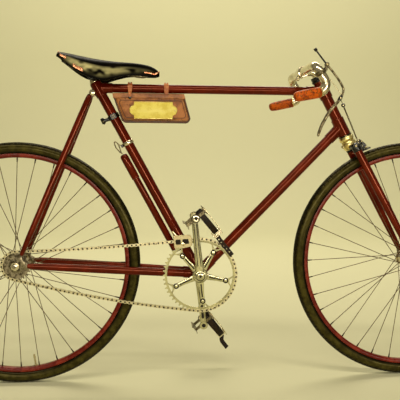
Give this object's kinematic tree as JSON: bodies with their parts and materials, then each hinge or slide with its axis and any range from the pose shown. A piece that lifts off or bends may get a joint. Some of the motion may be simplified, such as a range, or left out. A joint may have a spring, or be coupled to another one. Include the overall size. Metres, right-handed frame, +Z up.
{
  "type": "vintage bicycle",
  "caption": "Vintage diamond-frame bicycle with drop bar, spoon brake, leather saddle, tool bag under the top tube and strapped pedals.",
  "frame": {"origin": "the rider's place, on top of the saddle in the bicycle's middle plane", "axes": "+X forwards, +Z up, -Y towards the chain side (the rider's right)"},
  "size_m": [1.853, 0.4524, 0.9536],
  "materials": {
    "bottom_bracket": "dark red gloss enamel",
    "head_tube": "dark red gloss enamel",
    "seat_tube": "dark red gloss enamel",
    "down_tube": "dark red gloss enamel",
    "top_tube": "dark red gloss enamel",
    "seat_lug": "dark red gloss enamel",
    "chain_stay_right": "dark red gloss enamel",
    "chain_stay_left": "dark red gloss enamel",
    "seat_stay_right": "dark red gloss enamel",
    "seat_stay_left": "dark red gloss enamel",
    "dropout_right": "worn bare steel",
    "dropout_left": "worn bare steel",
    "seat_stay_bridge": "dark red gloss enamel",
    "rear_axle": "worn bare steel",
    "lower_headset": "tarnished brass plating",
    "seat_post": "worn bare steel",
    "saddle_clamp": "black satin",
    "saddle_rails": "worn bare steel",
    "saddle_top": "dark glossy leather",
    "tool_bag": "brown leather",
    "bag_plate": "yellow enamel",
    "bag_strap_rear": "dark brown leather",
    "bag_strap_front": "dark brown leather",
    "pump_barrel": "dark red gloss enamel",
    "pump_handle": "dark red gloss enamel",
    "pump_hook": "polished plating",
    "pump_peg": "worn bare steel",
    "seat_tube_clip": "black satin",
    "chain": "worn bare steel",
    "front_changer": "polished alloy",
    "fork_crown": "tarnished brass plating",
    "headset_locknut": "black satin",
    "fork_blade_right": "dark red gloss enamel",
    "fork_blade_left": "dark red gloss enamel",
    "front_axle": "worn bare steel",
    "handlebar": "polished plating",
    "grip_right": "orange-brown grip",
    "grip_left": "orange-brown grip",
    "stem": "polished plating",
    "brake_lever": "polished plating",
    "brake_cable": "worn bare steel",
    "spoon_brake": "black satin",
    "front_tyre": "black rubber",
    "front_rim": "red enamel",
    "front_hub": "polished plating",
    "rear_tyre": "black rubber",
    "rear_rim": "red enamel",
    "rear_hub": "polished plating",
    "rear_sprocket": "worn bare steel",
    "chainring": "polished alloy",
    "crank_right": "polished alloy",
    "crank_left": "polished alloy",
    "crank_axle": "worn bare steel",
    "pedal_right": "worn bare steel",
    "pedal_strap_right": "dark brown leather",
    "pedal_left": "worn bare steel",
    "pedal_strap_left": "dark brown leather"
  },
  "bodies": {
    "frame": {"bottom_bracket": "bottom_bracket", "head_tube": "head_tube", "seat_tube": "seat_tube", "down_tube": "down_tube", "top_tube": "top_tube", "seat_lug": "seat_lug", "chain_stay_right": "chain_stay_right", "chain_stay_left": "chain_stay_left", "seat_stay_right": "seat_stay_right", "seat_stay_left": "seat_stay_left", "dropout_right": "dropout_right", "dropout_left": "dropout_left", "seat_stay_bridge": "seat_stay_bridge", "rear_axle": "rear_axle", "lower_headset": "lower_headset", "seat_post": "seat_post", "saddle_clamp": "saddle_clamp", "saddle_rails": "saddle_rails", "saddle_top": "saddle_top", "tool_bag": "tool_bag", "bag_plate": "bag_plate", "bag_strap_rear": "bag_strap_rear", "bag_strap_front": "bag_strap_front", "pump_barrel": "pump_barrel", "pump_handle": "pump_handle", "pump_hook": "pump_hook", "pump_peg": "pump_peg", "seat_tube_clip": "seat_tube_clip", "chain": "chain", "front_changer": "front_changer"},
    "fork": {"fork_crown": "fork_crown", "headset_locknut": "headset_locknut", "fork_blade_right": "fork_blade_right", "fork_blade_left": "fork_blade_left", "front_axle": "front_axle", "handlebar": "handlebar", "grip_right": "grip_right", "grip_left": "grip_left", "stem": "stem", "brake_lever": "brake_lever", "brake_cable": "brake_cable", "spoon_brake": "spoon_brake"},
    "front_wheel": {"front_tyre": "front_tyre", "front_rim": "front_rim", "front_hub": "front_hub"},
    "rear_wheel": {"rear_tyre": "rear_tyre", "rear_rim": "rear_rim", "rear_hub": "rear_hub", "rear_sprocket": "rear_sprocket"},
    "crankset": {"chainring": "chainring", "crank_right": "crank_right", "crank_left": "crank_left", "crank_axle": "crank_axle"},
    "pedal_right_body": {"pedal_right": "pedal_right", "pedal_strap_right": "pedal_strap_right"},
    "pedal_left_body": {"pedal_left": "pedal_left", "pedal_strap_left": "pedal_strap_left"}
  },
  "joints": [
    {"name": "steering", "type": "hinge", "parent": "frame", "child": "fork", "pos_m": [0.75545, 0, -0.23827], "axis": [-0.4571, 0, 0.8894], "range_deg": [-60, 60]},
    {"name": "crank_spin", "type": "hinge", "parent": "frame", "child": "crankset", "pos_m": [0.31144, 0, -0.62295], "axis": [0, 1, 0], "continuous": true},
    {"name": "pedal_right_spin", "type": "hinge", "parent": "crankset", "child": "pedal_right_body", "pos_m": [0.29376, -0.08, -0.44885], "axis": [0, 1, 0], "continuous": true},
    {"name": "pedal_left_spin", "type": "hinge", "parent": "crankset", "child": "pedal_left_body", "pos_m": [0.32913, 0.08, -0.79706], "axis": [0, 1, 0], "continuous": true},
    {"name": "rear_wheel_spin", "type": "hinge", "parent": "frame", "child": "rear_wheel", "pos_m": [-0.21096, 0, -0.58965], "axis": [0, 1, 0], "continuous": true},
    {"name": "front_wheel_spin", "type": "hinge", "parent": "fork", "child": "front_wheel", "pos_m": [0.94244, 0, -0.58965], "axis": [0, 1, 0], "continuous": true}
  ]
}
